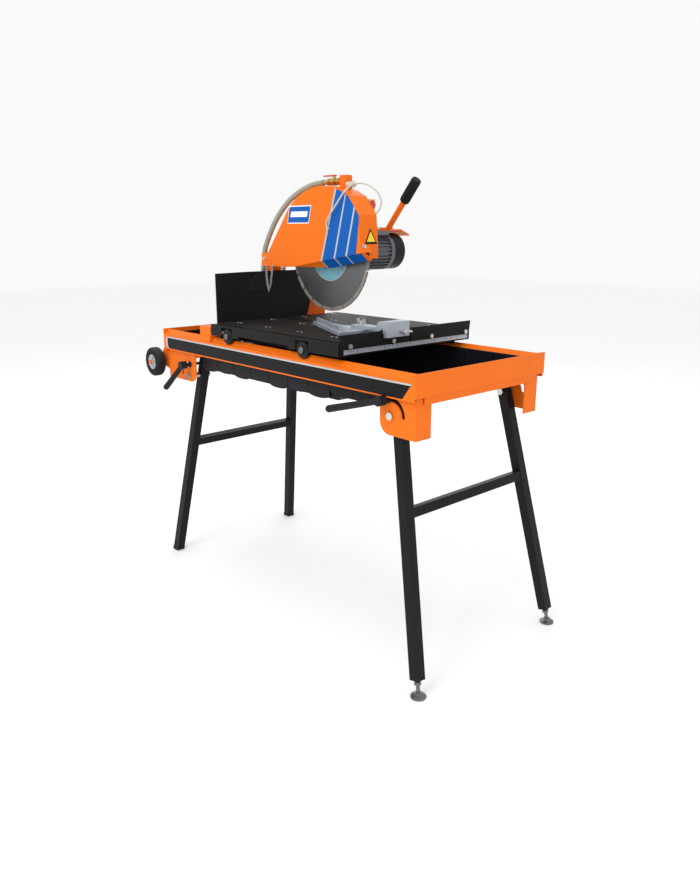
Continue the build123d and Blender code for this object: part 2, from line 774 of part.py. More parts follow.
# ---- saw head: arm, guard and handle ---------------------------------------------------------------
hub_from = near_post_y + near_post_width / 2 + 4
hub_to = far_post_y - far_post_width / 2 - 4
arm_from = 64.0
arm_to = 150.0
plate_front = 42.0
plate_rear = -122.0
plate_near = 16.0
plate_far = 262.0
with BuildPart() as head_arm:
    with BuildSketch(across(arm_to)):
        Polygon(
            (pivot_x, pivot_z + pivot_hub_r), (plate_rear - 30, plate_z), (plate_rear + 22, plate_z),
            (plate_rear + 22, plate_z - 58), (pivot_x, pivot_z - pivot_hub_r), align=None)
    extrude(amount=arm_to - arm_from)
    with BuildSketch(across(arm_to - plate)):
        Polygon(
            (pivot_x, pivot_z + pivot_hub_r - plate), (plate_rear - 30, plate_z - plate),
            (plate_rear + 22, plate_z - plate), (plate_rear + 22, plate_z - 70),
            (pivot_x, pivot_z - pivot_hub_r - 12), align=None)
    extrude(amount=arm_to - arm_from - 2 * plate, mode=Mode.SUBTRACT)
    with BuildSketch(across(hub_to)):
        with Locations((pivot_x, pivot_z)):
            Circle(pivot_hub_r)
    extrude(amount=hub_to - hub_from)
    # tail that the lift spring pulls down
    with BuildSketch(across(tail_y + 5)):
        Polygon((pivot_x, pivot_z + 16), (tail_x - 14, pivot_z + 6), (tail_x - 14, pivot_z - 12),
                (tail_x + 14, pivot_z - 12), (pivot_x, pivot_z - 18), align=None)
    extrude(amount=10)
    with BuildSketch(across(hub_to)):
        with Locations((pivot_x, pivot_z)):
            Circle(pivot_shaft_r + running_fit)
    extrude(amount=hub_to - hub_from, mode=Mode.SUBTRACT)
    # motor plate with a drooping far end
    with BuildSketch(level(plate_z)):
        Polygon((plate_rear, plate_near), (plate_front, plate_near), (plate_front, plate_far),
                (plate_rear, plate_far), align=None)
    extrude(amount=plate_sheet)
    with BuildSketch(along(plate_rear)):
        Polygon((plate_far, plate_z), (plate_far, plate_z + plate_sheet), (plate_far + 39, plate_z - 11),
                (plate_far + 37, plate_z - 15), align=None)
    extrude(amount=plate_front - plate_rear)

guard_corner = (-132.0, 1199.0)
guard_heel = (-278.0, 1022.0)
guard_heel_top = (-278.0, 1063.0)
guard_step = (-245.0, 1063.0)
guard_crown = (18.0, 1257.0)
guard_shoulder = (140.0, 1226.0)
guard_brow = (183.0, 1175.0)
guard_front = (191.0, 1090.0)
guard_toe = (202.0, 1073.0)
guard_toe_low = (191.0, 1056.0)
guard_belly = (-117.0, 1024.0)
lip_in = 22.0
lip_down = 23.0
lip_wide = hypot(lip_in, lip_down)
lip_taper = 160.0


def guard_outline(inset, toe):
    """Outline of the blade guard, drawn a sheet's thickness inside itself for the hollow."""
    with BuildSketch(Plane.XY) as outline:
        with BuildLine():
            Polyline(guard_heel, guard_heel_top, guard_step, guard_corner)
            ThreePointArc(guard_corner, guard_crown, guard_shoulder)
            Polyline(guard_shoulder, guard_brow, guard_front, toe, guard_belly, guard_heel)
        make_face()
        if inset:
            offset(amount=-inset, kind=Kind.INTERSECTION)
    return outline.sketch


def guard_half(y_from, y_to, face_at_near, toe):
    """One half of the folded guard: a rim with one closed side, open below."""
    with BuildPart() as half:
        with BuildSketch(across(y_to)):
            add(guard_outline(0, toe))
        extrude(amount=y_to - y_from)
        hollow_far = y_to if face_at_near else y_to - guard_sheet
        hollow_near = y_from + guard_sheet if face_at_near else y_from
        for drop in (0, 2 * guard_sheet, 5 * guard_sheet):
            with BuildSketch(across(hollow_far)):
                with Locations((0, -drop)):
                    add(guard_outline(guard_sheet, toe))
            extrude(amount=hollow_far - hollow_near, mode=Mode.SUBTRACT)
    return half


shaft_hole_r = 46.0
near_half = guard_half(guard_near_y, guard_seam_y - 0.2, True, guard_toe)
belly_run = Vector(guard_toe[0] - guard_belly[0], 0, guard_toe[1] - guard_belly[1])
with BuildPart() as guard_cover:
    add(near_half.part)
    # lower lip, folded inward along the belly line and tapering out at its rear end
    lip = Plane(origin=(guard_belly[0], guard_near_y + 1.5, guard_belly[1] + 1), x_dir=belly_run,
                z_dir=belly_run.cross(Vector(0, lip_in, -lip_down)))
    with BuildSketch(lip):
        Polygon((0, 0), (belly_run.length, 0), (belly_run.length + 8, lip_wide), (lip_taper, lip_wide),
                align=None)
    extrude(amount=guard_sheet)

far_half = guard_half(guard_seam_y, guard_far_y, False, guard_toe_low)
post_low = 1238.0
post_high = 1286.0
with BuildPart() as guard_back:
    add(far_half.part)
    with BuildSketch(across(guard_far_y)):
        with Locations((0, arbor_z)):
            Circle(shaft_hole_r)
    extrude(amount=2 * guard_sheet, mode=Mode.SUBTRACT)
    # post for the water valve, standing on the rim
    with BuildSketch(level(post_low)):
        with Locations((72, 0)):
            Rectangle(28, 24)
            Rectangle(22, 18, mode=Mode.SUBTRACT)
    extrude(amount=post_high - post_low)

with BuildPart() as splash_flap:
    with BuildSketch(along(splash_x + 3)):
        Polygon((-71, 1006), (-107, 971), (-113, 946), (-10, 943), (20, 990), (20, 1006), align=None)
    extrude(amount=4)

handle_base = Vector(40, 205, plate_z + plate_sheet)
handle_end = Vector(160, 205, 1280)
handle_dir = (handle_end - handle_base).normalized()
grip_start = handle_base + handle_dir * 104
with BuildPart() as handle_bar:
    with BuildSketch(Plane(origin=handle_base, z_dir=handle_dir)):
        Circle(handle_r)
    extrude(amount=(handle_end - handle_base).length - 4)
    with BuildSketch(level(plate_z + plate_sheet - 10)):
        with Locations((handle_base.X, handle_base.Y)):
            Rectangle(90, 60)
    extrude(amount=10, mode=Mode.SUBTRACT)
    with BuildSketch(level(plate_z + plate_sheet)):
        with Locations((handle_base.X - 20, handle_base.Y)):
            Rectangle(44, 40)
    extrude(amount=5)
with BuildPart() as handle_grip:
    with BuildSketch(Plane(origin=grip_start, z_dir=handle_dir)):
        Circle(grip_r)
    extrude(amount=(handle_end - grip_start).length)
    fillet(edges(), radius=5)
    with BuildSketch(Plane(origin=grip_start, z_dir=handle_dir)):
        Circle(handle_r)
    extrude(amount=(handle_end - grip_start).length - 4, mode=Mode.SUBTRACT)

# ---- motor and rotor --------------------------------------------------------------------------
bell = 14.0
foot_half_x = 50.0
with BuildPart() as motor_housing:
    with BuildSketch(across(motor_end_y)):
        with Locations((0, arbor_z)):
            Circle(motor_body_r)
        for step in range(30):
            turn = radians(12 * step)
            fin_at = (motor_body_r * sin(turn), arbor_z + motor_body_r * cos(turn), 0)
            with Locations(Location(fin_at, (0, 0, -12 * step))):
                Rectangle(2.4, 2 * (motor_fin_r - motor_body_r))
        with Locations((0, arbor_z)):
            Circle(motor_body_r - 8, mode=Mode.SUBTRACT)
    extrude(amount=motor_end_y - motor_start_y)
    for bell_y in (motor_start_y + bell, motor_end_y):
        with BuildSketch(across(bell_y)):
            with Locations((0, arbor_z)):
                Circle(motor_fin_r - 1)
                Circle(motor_shaft_r + 0.5, mode=Mode.SUBTRACT)
        extrude(amount=bell)
    with BuildSketch(across(200)):
        with Locations((0, (plate_z + arbor_z + motor_body_r) / 2)):
            Rectangle(2 * foot_half_x, plate_z - arbor_z - motor_body_r)
    extrude(amount=120)

with BuildPart() as fan_cover:
    with BuildSketch(across(fan_cover_end_y)):
        with Locations((0, arbor_z)):
            Circle(motor_fin_r - 1)
    extrude(amount=fan_cover_end_y - motor_end_y)
    fillet(edges().sort_by(Axis.Y)[-1], radius=10)
    with BuildSketch(across(fan_cover_end_y - 3)):
        with Locations((0, arbor_z)):
            Circle(motor_fin_r - 4)
    extrude(amount=fan_cover_end_y - 3 - motor_end_y, mode=Mode.SUBTRACT)
    with BuildSketch(across(fan_cover_end_y)):
        for ring in (12, 22, 32, 42):
            for step in range(8):
                turn = radians(45 * step)
                slot_at = (ring * cos(turn), arbor_z + ring * sin(turn), 0)
                with Locations(Location(slot_at, (0, 0, 45 * step + 90))):
                    Rectangle(ring * 0.5, 5)
    extrude(amount=4, mode=Mode.SUBTRACT)

with BuildPart() as motor_rotor:
    with BuildSketch(across(252)):
        with Locations((0, arbor_z)):
            Circle(motor_shaft_r)
    extrude(amount=252 + 30)
    with BuildSketch(across(200)):
        with Locations((0, arbor_z)):
            Circle(motor_body_r - 12)
    extrude(amount=120)
    with BuildSketch(across(250)):
        with Locations((0, arbor_z)):
            Circle(20)
        for step in range(6):
            turn = radians(60 * step)
            with Locations(Location((29 * cos(turn), arbor_z + 29 * sin(turn), 0), (0, 0, 60 * step))):
                Rectangle(34, 4)
    extrude(amount=16)

with BuildPart() as saw_blade:
    with BuildSketch(across(blade_core / 2)):
        with Locations((0, arbor_z)):
            Circle(blade_r - segment_height)
            Circle(motor_shaft_r, mode=Mode.SUBTRACT)
    extrude(amount=blade_core)
    with BuildSketch(across(blade_kerf / 2)):
        with Locations((0, arbor_z)):
            Circle(blade_r)
            Circle(blade_r - segment_height, mode=Mode.SUBTRACT)
        for step in range(segment_count):
            turn = 360 / segment_count * step
            middle = blade_r - segment_height / 2
            gap_at = (middle * cos(radians(turn)), arbor_z + middle * sin(radians(turn)), 0)
            with Locations(Location(gap_at, (0, 0, turn))):
                Rectangle(2 * segment_height, gullet, mode=Mode.SUBTRACT)
    extrude(amount=blade_kerf)

flange_r = 40.0
with BuildPart() as arbor_clamp:
    for y_far in (blade_core / 2 + 9, -blade_core / 2):
        with BuildSketch(across(y_far)):
            with Locations((0, arbor_z)):
                Circle(flange_r)
                Circle(motor_shaft_r, mode=Mode.SUBTRACT)
        extrude(amount=9)
    with BuildSketch(across(-blade_core / 2 - 9)):
        with Locations((0, arbor_z)):
            RegularPolygon(radius=18, side_count=6)
            Circle(motor_shaft_r, mode=Mode.SUBTRACT)
    extrude(amount=13)

# ---- spring, water and switches ------------------------------------------------------------------
spring_low = beam_high
spring_high = pivot_z - 12
with BuildPart() as lift_spring:
    with BuildSketch(level(spring_low)):
        with Locations((tail_x, tail_y)):
            Circle(13)
            Circle(9, mode=Mode.SUBTRACT)
    extrude(amount=spring_high - spring_low)

valve_z = 1269.5
valve_y = -17.0 + 12.0
with BuildPart() as water_valve:
    with BuildSketch(along(-18)):
        with Locations((valve_y, valve_z)):
            Circle(7)
    extrude(amount=58 + 18)
    for x_from, length, radius in ((2, 10, 11), (16, 22, 12), (42, 12, 11)):
        with BuildSketch(along(x_from)):
            with Locations((valve_y, valve_z)):
                RegularPolygon(radius=radius, side_count=6)
        extrude(amount=length)
    with BuildSketch(level(valve_z)):
        with Locations((27, valve_y)):
            Circle(5)
    extrude(amount=15)

with BuildPart() as valve_lever:
    with BuildSketch(level(valve_z + 15.3)):
        with Locations((27, valve_y)):
            Circle(8)
        Polygon((27, valve_y - 6), (27, valve_y + 6), (-16, valve_y + 5), (-16, valve_y - 5), align=None)
    extrude(amount=4)


def bend_radii(points):
    """The largest arc each corner of a route has room for."""
    radii = []
    for before, corner, after in zip(points, points[1:], points[2:]):
        run_in = Vector(corner) - Vector(before)
        run_out = Vector(after) - Vector(corner)
        turn = radians(run_in.get_angle(run_out))
        radii.append(0.45 * min(run_in.length, run_out.length) / tan(turn / 2))
    return radii


def hose(points, radius, name):
    """Round hose along straight runs joined by tangent arcs."""
    radii = bend_radii(points)
    print(name, "radii", [round(value) for value in radii])
    with BuildPart() as tube:
        with BuildLine() as route:
            FilletPolyline(*points, radius=radii)
        with BuildSketch(Plane(origin=points[0], z_dir=Vector(points[1]) - Vector(points[0]))):
            Circle(radius)
        sweep(path=route.wires()[0])
    expected = 3.14159265 * radius**2 * route.wires()[0].length
    print(name, "length", round(route.wires()[0].length), "volume", round(tube.part.volume), round(expected))
    return tube.part


hose_r = 8.5
hose_head_route = [
    (-18.6, valve_y, valve_z), (-62, valve_y - 1, 1267), (-117, valve_y - 3, 1253), (-172, valve_y - 6, 1228),
    (-217, valve_y - 9, 1194), (-253, valve_y - 12, 1155), (-282, valve_y - 14, 1112),
    (-303, valve_y - 15, 1075), (-309, valve_y - 15, 1040),
]
hose_frame_route = [
    (-309, valve_y - 15, 1040), (-315, valve_y - 15, 1005), (-325, -24, 958), (-343, -30, 915),
    (-364, -38, 875),
    (-374, -48, 835), (-372, -62, 797), (-364, -74, 772), (-356, -86, 757),
]
water_hose_head = hose(hose_head_route, hose_r, "hose on the head")
water_hose_frame = hose(hose_frame_route, hose_r, "hose on the frame")

spray_r = 2.5
spray_near_route = [
    (112, -10, 1259), (131, -20, 1261), (142, -42, 1256), (132, -61, 1237), (104, -65, 1204), (72, -63, 1175),
    (52, -60, 1153), (55, -55.5, 1138),
]
spray_far_route = [
    (112, -2, 1260), (135, 4, 1263), (162, 14, 1254), (184, 25, 1232), (190, 30, 1206), (182, 26, 1186),
    (172, 20, 1178),
]
with BuildPart() as spray_line:
    with BuildSketch(along(86)):
        with Locations((valve_y, 1259)):
            Circle(9)
    extrude(amount=26)
    add(hose(spray_near_route, spray_r, "near spray tube"))
    add(hose(spray_far_route, spray_r, "far spray tube"))
    with BuildSketch(across(guard_near_y)):
        with Locations((55, 1138)):
            Circle(4.5)
    extrude(amount=6)
    with BuildSketch(across(guard_far_y + 7)):
        with Locations((172, 1178)):
            Circle(4.5)
    extrude(amount=7)

with BuildPart() as water_pump:
    with BuildSketch(level(sump_deep_z + tank_wall)):
        with Locations((-342, -90)):
            RectangleRounded(56, 60, 8)
    extrude(amount=46)
    with BuildSketch(level(sump_deep_z + tank_wall + 46)):
        with Locations((-354, -88)):
            Circle(9)
    extrude(amount=8)

switch_y = guard_far_y
with BuildPart() as switch_box:
    with BuildSketch(level(1162)):
        with Locations((96, switch_y + 26)):
            RectangleRounded(60, 52, 6)
    extrude(amount=58)
    with BuildSketch(along(126)):
        with Locations((switch_y + 26, 1176), (switch_y + 26, 1204)):
            Circle(6 + running_fit)
    extrude(amount=-14, mode=Mode.SUBTRACT)


def push_button(z, cap_r):
    """Button on the switch box's front face."""
    with BuildPart() as button:
        with BuildSketch(along(126 - 9)):
            with Locations((switch_y + 26, z)):
                Circle(6)
        extrude(amount=14)
        with BuildSketch(along(126 + 5)):
            with Locations((switch_y + 26, z)):
                Circle(cap_r)
        extrude(amount=8)
    return button.part


start_button = push_button(1176, 9)
stop_button = push_button(1204, 13)

chain_y = guard_near_y - 3.4
chain_points = [
    (-247, chain_y, 1026), (-250, chain_y, 1008), (-249, chain_y, 986), (-245, chain_y, 964),
    (-238, chain_y, 946), (-230, chain_y, 962), (-225, chain_y, 982), (-220, chain_y, 1004),
    (-216, chain_y, 1026),
]
with BuildPart() as safety_chain:
    for start, end in zip(chain_points, chain_points[1:]):
        run = Vector(end) - Vector(start)
        with BuildSketch(Plane(origin=start, z_dir=run)):
            Circle(3.2)
        extrude(amount=run.length)
        with Locations(end):
            Sphere(3.2)
save(side_rail_near.part, "side_rail_near")
save(side_rail_far.part, "side_rail_far")
save(front_end_panel.part, "front_end_panel")
save(rear_end_panel.part, "rear_end_panel")
save(leg_brackets.part, "leg_brackets")
save(leg_pivot_bolts.part, "leg_pivot_bolts")
save(front_leg_frame.part, "front_leg_frame")
save(rear_legs, "rear_leg_frame")
save(rear_leg_caps.part, "rear_leg_caps")
save(levelling_foot_near.part, "levelling_foot_near")
save(levelling_foot_far.part, "levelling_foot_far")
for lever_name, lever_part in levers.items():
    save(lever_part, lever_name)
save(water_tank.part, "water_tank")
save(drain_plug.part, "drain_plug")
save(transport_axle.part, "transport_axle")
save(near_tyre, "transport_tyre_near")
save(near_hub, "transport_hub_near")
save(far_tyre, "transport_tyre_far")
save(far_hub, "transport_hub_far")
save(cart_deck.part, "cart_deck")
save(deck_mat.part, "deck_mat")
save(fence_plate.part, "fence_plate")
save(ruler_strip.part, "ruler_strip")
save(cart_fasteners.part, "cart_fasteners")
for end_name, wheel_x in (("rear", cart_wheel_rear_x), ("front", cart_wheel_front_x)):
    for side_name, wheel_y in (("near", -ridge_y), ("far", ridge_y)):
        save(cart_wheel(wheel_x, wheel_y), f"cart_wheel_{end_name}_{side_name}")
save(guide_clamp.part, "guide_clamp")
save(guide_arm.part, "guide_arm")
save(guide_clamp_screw, "guide_clamp_screw")
save(guide_pivot_screw, "guide_pivot_screw")
save(head_stand.part, "head_stand")
save(pivot_shaft.part, "pivot_shaft")
save(splash_guard.part, "splash_guard")
save(head_arm.part, "head_arm")
save(guard_cover.part, "guard_cover")
save(guard_back.part, "guard_back")
save(splash_flap.part, "splash_flap")
save(handle_bar.part, "handle_bar")
save(handle_grip.part, "handle_grip")
save(motor_housing.part, "motor_housing")
save(fan_cover.part, "fan_cover")
save(motor_rotor.part, "motor_rotor")
save(saw_blade.part, "saw_blade")
save(arbor_clamp.part, "arbor_clamp")
save(lift_spring.part, "lift_spring")
save(water_valve.part, "water_valve")
save(valve_lever.part, "valve_lever")
save(water_hose_head, "water_hose_head")
save(water_hose_frame, "water_hose_frame")
save(spray_line.part, "spray_line")
save(water_pump.part, "water_pump")
save(switch_box.part, "switch_box")
save(start_button, "start_button")
save(stop_button, "stop_button")
save(safety_chain.part, "safety_chain")
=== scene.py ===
import json
import math
import bmesh
import bpy
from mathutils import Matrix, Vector


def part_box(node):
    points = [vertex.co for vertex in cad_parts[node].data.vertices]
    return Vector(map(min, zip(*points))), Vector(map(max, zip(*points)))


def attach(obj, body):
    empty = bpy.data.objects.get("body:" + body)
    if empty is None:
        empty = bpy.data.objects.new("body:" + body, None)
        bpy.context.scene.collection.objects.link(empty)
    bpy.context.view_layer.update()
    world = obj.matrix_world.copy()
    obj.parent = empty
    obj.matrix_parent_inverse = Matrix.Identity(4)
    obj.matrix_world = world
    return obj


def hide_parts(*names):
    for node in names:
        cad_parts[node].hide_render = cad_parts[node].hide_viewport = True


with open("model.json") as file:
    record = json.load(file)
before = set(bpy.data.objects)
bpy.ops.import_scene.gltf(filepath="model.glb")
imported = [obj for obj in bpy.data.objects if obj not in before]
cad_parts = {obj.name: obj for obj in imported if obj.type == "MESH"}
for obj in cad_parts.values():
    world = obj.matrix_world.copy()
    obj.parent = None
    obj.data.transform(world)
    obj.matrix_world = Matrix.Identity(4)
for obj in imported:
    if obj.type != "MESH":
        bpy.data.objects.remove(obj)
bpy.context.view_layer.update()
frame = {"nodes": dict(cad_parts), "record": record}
nodes = frame["nodes"]

# Metres, in the part's own frame, unless a name or a comment says millimetres.
EDGE_RADIUS = 0.0008
GUARD_FACE_Y = -0.0521
RIM_X = 0.1913
RIM_NORMAL = (85, 0, 8)
RIM_SLOPE = -RIM_NORMAL[2] / RIM_NORMAL[0]
RAIL_FACE_Y = 0.2601
ARBOR_Z = 1.07
CHAIN_Y = -0.0554
HUB_X, HUB_Z = -0.633, 0.690
CART_WHEEL_Z = 0.8202
SIDES = ((-1, "near"), (1, "far"))


# ---- materials -----------------------------------------------------------------------------------
def material(name, colour, rough=0.45, metallic=0.0, grain=60.0, vary=0.10, bump=0.15, wear=0.0,
             coat=0.0, stretch=(1.0, 1.0, 1.0), dust=0.0, spec=0.5):
    """A surface whose colour and roughness vary, with worn edges and dust on top where asked for."""
    m = bpy.data.materials.new(name)
    m.use_nodes = True
    t = m.node_tree
    n, l = t.nodes, t.links
    b = n["Principled BSDF"]
    b.inputs["Metallic"].default_value = metallic
    b.inputs["Coat Weight"].default_value = coat
    b.inputs["Specular IOR Level"].default_value = spec
    b.inputs["Coat Roughness"].default_value = 0.25
    co = n.new("ShaderNodeTexCoord")
    mp = n.new("ShaderNodeMapping")
    mp.inputs["Scale"].default_value = stretch
    l.new(co.outputs["Object"], mp.inputs["Vector"])
    big = n.new("ShaderNodeTexNoise")
    big.inputs["Scale"].default_value = grain * 0.12
    big.inputs["Detail"].default_value = 5.0
    fine = n.new("ShaderNodeTexNoise")
    fine.inputs["Scale"].default_value = grain * 8.0
    fine.inputs["Detail"].default_value = 4.0
    l.new(mp.outputs["Vector"], big.inputs["Vector"])
    l.new(mp.outputs["Vector"], fine.inputs["Vector"])
    mix = n.new("ShaderNodeMix")
    mix.data_type = "RGBA"
    dark = [c * (1 - vary) for c in colour]
    light = [min(1.0, c * (1 + vary) + 0.004) for c in colour]
    mix.inputs["A"].default_value = (*dark, 1)
    mix.inputs["B"].default_value = (*light, 1)
    l.new(big.outputs["Fac"], mix.inputs["Factor"])
    top = mix.outputs["Result"]
    bev = n.new("ShaderNodeBevel")
    bev.samples = 4
    bev.inputs["Radius"].default_value = EDGE_RADIUS
    if dust > 0:
        geo = n.new("ShaderNodeNewGeometry")
        sep = n.new("ShaderNodeSeparateXYZ")
        l.new(geo.outputs["Normal"], sep.inputs["Vector"])
        up = n.new("ShaderNodeMath")
        up.operation = "MULTIPLY"
        up.use_clamp = True
        l.new(sep.outputs["Z"], up.inputs[0])
        l.new(big.outputs["Fac"], up.inputs[1])
        up2 = n.new("ShaderNodeMath")
        up2.operation = "MULTIPLY"
        up2.inputs[1].default_value = dust
        l.new(up.outputs[0], up2.inputs[0])
        d = n.new("ShaderNodeMix")
        d.data_type = "RGBA"
        d.inputs["B"].default_value = (0.32, 0.30, 0.27, 1)
        l.new(top, d.inputs["A"])
        l.new(up2.outputs[0], d.inputs["Factor"])
        top = d.outputs["Result"]
    if wear > 0:
        geo2 = n.new("ShaderNodeNewGeometry")
        dot = n.new("ShaderNodeVectorMath")
        dot.operation = "DOT_PRODUCT"
        l.new(geo2.outputs["True Normal"], dot.inputs[0])
        l.new(bev.outputs["Normal"], dot.inputs[1])
        edge = n.new("ShaderNodeMapRange")
        edge.inputs["From Min"].default_value = 0.985
        edge.inputs["From Max"].default_value = 0.80
        l.new(dot.outputs["Value"], edge.inputs["Value"])
        chip = n.new("ShaderNodeMapRange")
        chip.inputs["From Min"].default_value = 0.50
        chip.inputs["From Max"].default_value = 0.62
        l.new(fine.outputs["Fac"], chip.inputs["Value"])
        both = n.new("ShaderNodeMath")
        both.operation = "MULTIPLY"
        l.new(edge.outputs["Result"], both.inputs[0])
        l.new(chip.outputs["Result"], both.inputs[1])
        some = n.new("ShaderNodeMath")
        some.operation = "MULTIPLY"
        some.inputs[1].default_value = wear
        l.new(both.outputs[0], some.inputs[0])
        w = n.new("ShaderNodeMix")
        w.data_type = "RGBA"
        w.inputs["B"].default_value = (*[min(1, c * 1.6 + 0.08) for c in colour], 1)
        l.new(top, w.inputs["A"])
        l.new(some.outputs[0], w.inputs["Factor"])
        top = w.outputs["Result"]
    l.new(top, b.inputs["Base Color"])
    r = n.new("ShaderNodeMapRange")
    r.inputs["To Min"].default_value = max(0.03, rough - 0.10)
    r.inputs["To Max"].default_value = min(1.0, rough + 0.12)
    l.new(big.outputs["Fac"], r.inputs["Value"])
    l.new(r.outputs["Result"], b.inputs["Roughness"])
    bp = n.new("ShaderNodeBump")
    bp.inputs["Strength"].default_value = bump
    bp.inputs["Distance"].default_value = 0.0005
    l.new(fine.outputs["Fac"], bp.inputs["Height"])
    l.new(bev.outputs["Normal"], bp.inputs["Normal"])
    l.new(bp.outputs["Normal"], b.inputs["Normal"])
    return m


M = {
    "frame_orange": material("orange_paint", (0.80, 0.150, 0.004), 0.42,
                             wear=0.25, bump=0.08, grain=40, spec=0.14),
    "leg_black": material("black_powder", (0.007, 0.007, 0.008), 0.38,
                          wear=0.3, bump=0.25, grain=90, dust=0.03, spec=0.10),
    "tank_black": material("tank_plastic", (0.010, 0.011, 0.014), 0.36,
                           bump=0.35, grain=50, vary=0.2, dust=0.05, spec=0.10),
    "plate_black": material("black_plate", (0.008, 0.008, 0.008), 0.42,
                            wear=0.4, bump=0.2, dust=0.03, spec=0.10),
    "mat_black": material("mat_rubber", (0.009, 0.009, 0.009), 0.55, bump=0.6, grain=140, dust=0.04, spec=0.10),
    "zinc": material("zinc_plate", (0.62, 0.62, 0.60), 0.30, 1.0, bump=0.1, vary=0.15),
    "steel": material("bright_steel", (0.50, 0.50, 0.50), 0.30, 1.0, bump=0.1, stretch=(1, 1, 12)),
    "aluminium": material("cast_aluminium", (0.42, 0.47, 0.53), 0.42, 0.6,
                          bump=0.35, grain=110, vary=0.12, wear=0.3),
    "tyre": material("tyre_rubber", (0.014, 0.014, 0.014), 0.75, bump=0.5, grain=120, dust=0.2, spec=0.10),
    "black_plastic": material("moulded_black", (0.014, 0.014, 0.015), 0.38, bump=0.2, wear=0.2, spec=0.10),
    "rubber": material("black_rubber", (0.012, 0.012, 0.012), 0.65, bump=0.5, grain=120, dust=0.1, spec=0.10),
    "hose_clear": material("clear_hose", (0.27, 0.28, 0.22), 0.26, bump=0.1, coat=0.5, vary=0.12),
    "tube_clear": material("thin_tube", (0.50, 0.49, 0.42), 0.20, bump=0.05, coat=0.5, vary=0.06),
    "brass": material("brass_fitting", (0.55, 0.37, 0.13), 0.30, 1.0, bump=0.2, wear=0.4, vary=0.2),
    "red_plastic": material("red_plastic", (0.55, 0.02, 0.015), 0.30, coat=0.4, bump=0.05),
    "green_plastic": material("green_plastic", (0.02, 0.26, 0.06), 0.30, coat=0.4, bump=0.05),
    "yellow_plastic": material("yellow_plastic", (0.80, 0.48, 0.02), 0.40, bump=0.1),
}
MX = {
    "blade": material("blade_steel", (0.17, 0.172, 0.175), 0.36, 1.0, bump=0.25, vary=0.18, grain=80),
    "segment": material("blade_segment", (0.34, 0.30, 0.25), 0.62, 0.7, bump=0.9, grain=160, vary=0.3),
    "disc": material("blade_print", (0.16, 0.42, 0.52), 0.30, 0.2, vary=0.45, grain=260, coat=0.4),
    "blue": material("blue_film", (0.001, 0.095, 0.40), 0.42, spec=0.12, bump=0.04, vary=0.06),
    "silver": material("silver_film", (0.52, 0.53, 0.54), 0.32, 0.4, bump=0.04, vary=0.06),
    "white": material("white_film", (0.85, 0.85, 0.84), 0.40, bump=0.04, vary=0.04),
    "black": material("black_film", (0.005, 0.005, 0.006), 0.40, bump=0.04, spec=0.12),
    "yellow": material("yellow_film", (0.85, 0.60, 0.02), 0.40, bump=0.04, vary=0.05),
    "motor": material("motor_casting", (0.13, 0.135, 0.15), 0.42, 0.6,
                      bump=0.35, grain=110, vary=0.15, wear=0.3),
    "foot": material("dark_zinc", (0.16, 0.16, 0.16), 0.34, 0.9, bump=0.15, vary=0.2),
    "links": material("chain_steel", (0.48, 0.48, 0.48), 0.35, 1.0, bump=0.1, vary=0.3),
}
special = {"saw_blade": MX["blade"], "motor_housing": MX["motor"], "levelling_foot_near": MX["foot"],
           "levelling_foot_far": MX["foot"], "fan_cover": M["black_plastic"]}
for s in frame["record"]["subparts"]:
    o = nodes[s["node"]]
    o.data.materials.clear()
    o.data.materials.append(special.get(s["node"], M[s["material_slot"]]))


# ---- helpers -------------------------------------------------------------------------------------
def mesh(name, verts, faces, mat, body, smooth=False):
    d = bpy.data.meshes.new(name)
    d.from_pydata([tuple(v) for v in verts], [], faces)
    d.update()
    o = bpy.data.objects.new(name, d)
    bpy.context.scene.collection.objects.link(o)
    o.data.materials.append(mat)
    if smooth:
        d.polygons.foreach_set("use_smooth", [True] * len(d.polygons))
    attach(o, body)
    return o


def slab(name, pts, normal, thick, mat, body):
    """A thin flat piece: its outline in the row frame, given a small thickness along normal."""
    n = len(pts)
    up = Vector(normal).normalized() * thick
    verts = [Vector(p) for p in pts] + [Vector(p) + up for p in pts]
    faces = [tuple(range(n)), tuple(reversed(range(n, 2 * n)))]
    faces += [((i + 1) % n, i, i + n, (i + 1) % n + n) for i in range(n)]
    o = mesh(name, verts, faces, mat, body)
    bm = bmesh.new()
    bm.from_mesh(o.data)
    bmesh.ops.recalc_face_normals(bm, faces=bm.faces)
    bm.to_mesh(o.data)
    bm.free()
    return o


def lathe(name, centre, axis, profile, mat, body, steps=48):
    """Revolves (along, radius) pairs about an axis through centre."""
    a = Vector(axis).normalized()
    u = a.orthogonal().normalized()
    v = a.cross(u)
    verts, faces = [], []
    for h, r in profile:
        for i in range(steps):
            t = 2 * math.pi * i / steps
            verts.append(Vector(centre) + a * h + (u * math.cos(t) + v * math.sin(t)) * r)
    for k in range(len(profile) - 1):
        for i in range(steps):
            j = (i + 1) % steps
            faces.append((k * steps + i, k * steps + j, (k + 1) * steps + j, (k + 1) * steps + i))
    faces.append(tuple(reversed(range(steps))))
    faces.append(tuple((len(profile) - 1) * steps + i for i in range(steps)))
    o = mesh(name, verts, faces, mat, body)
    return o


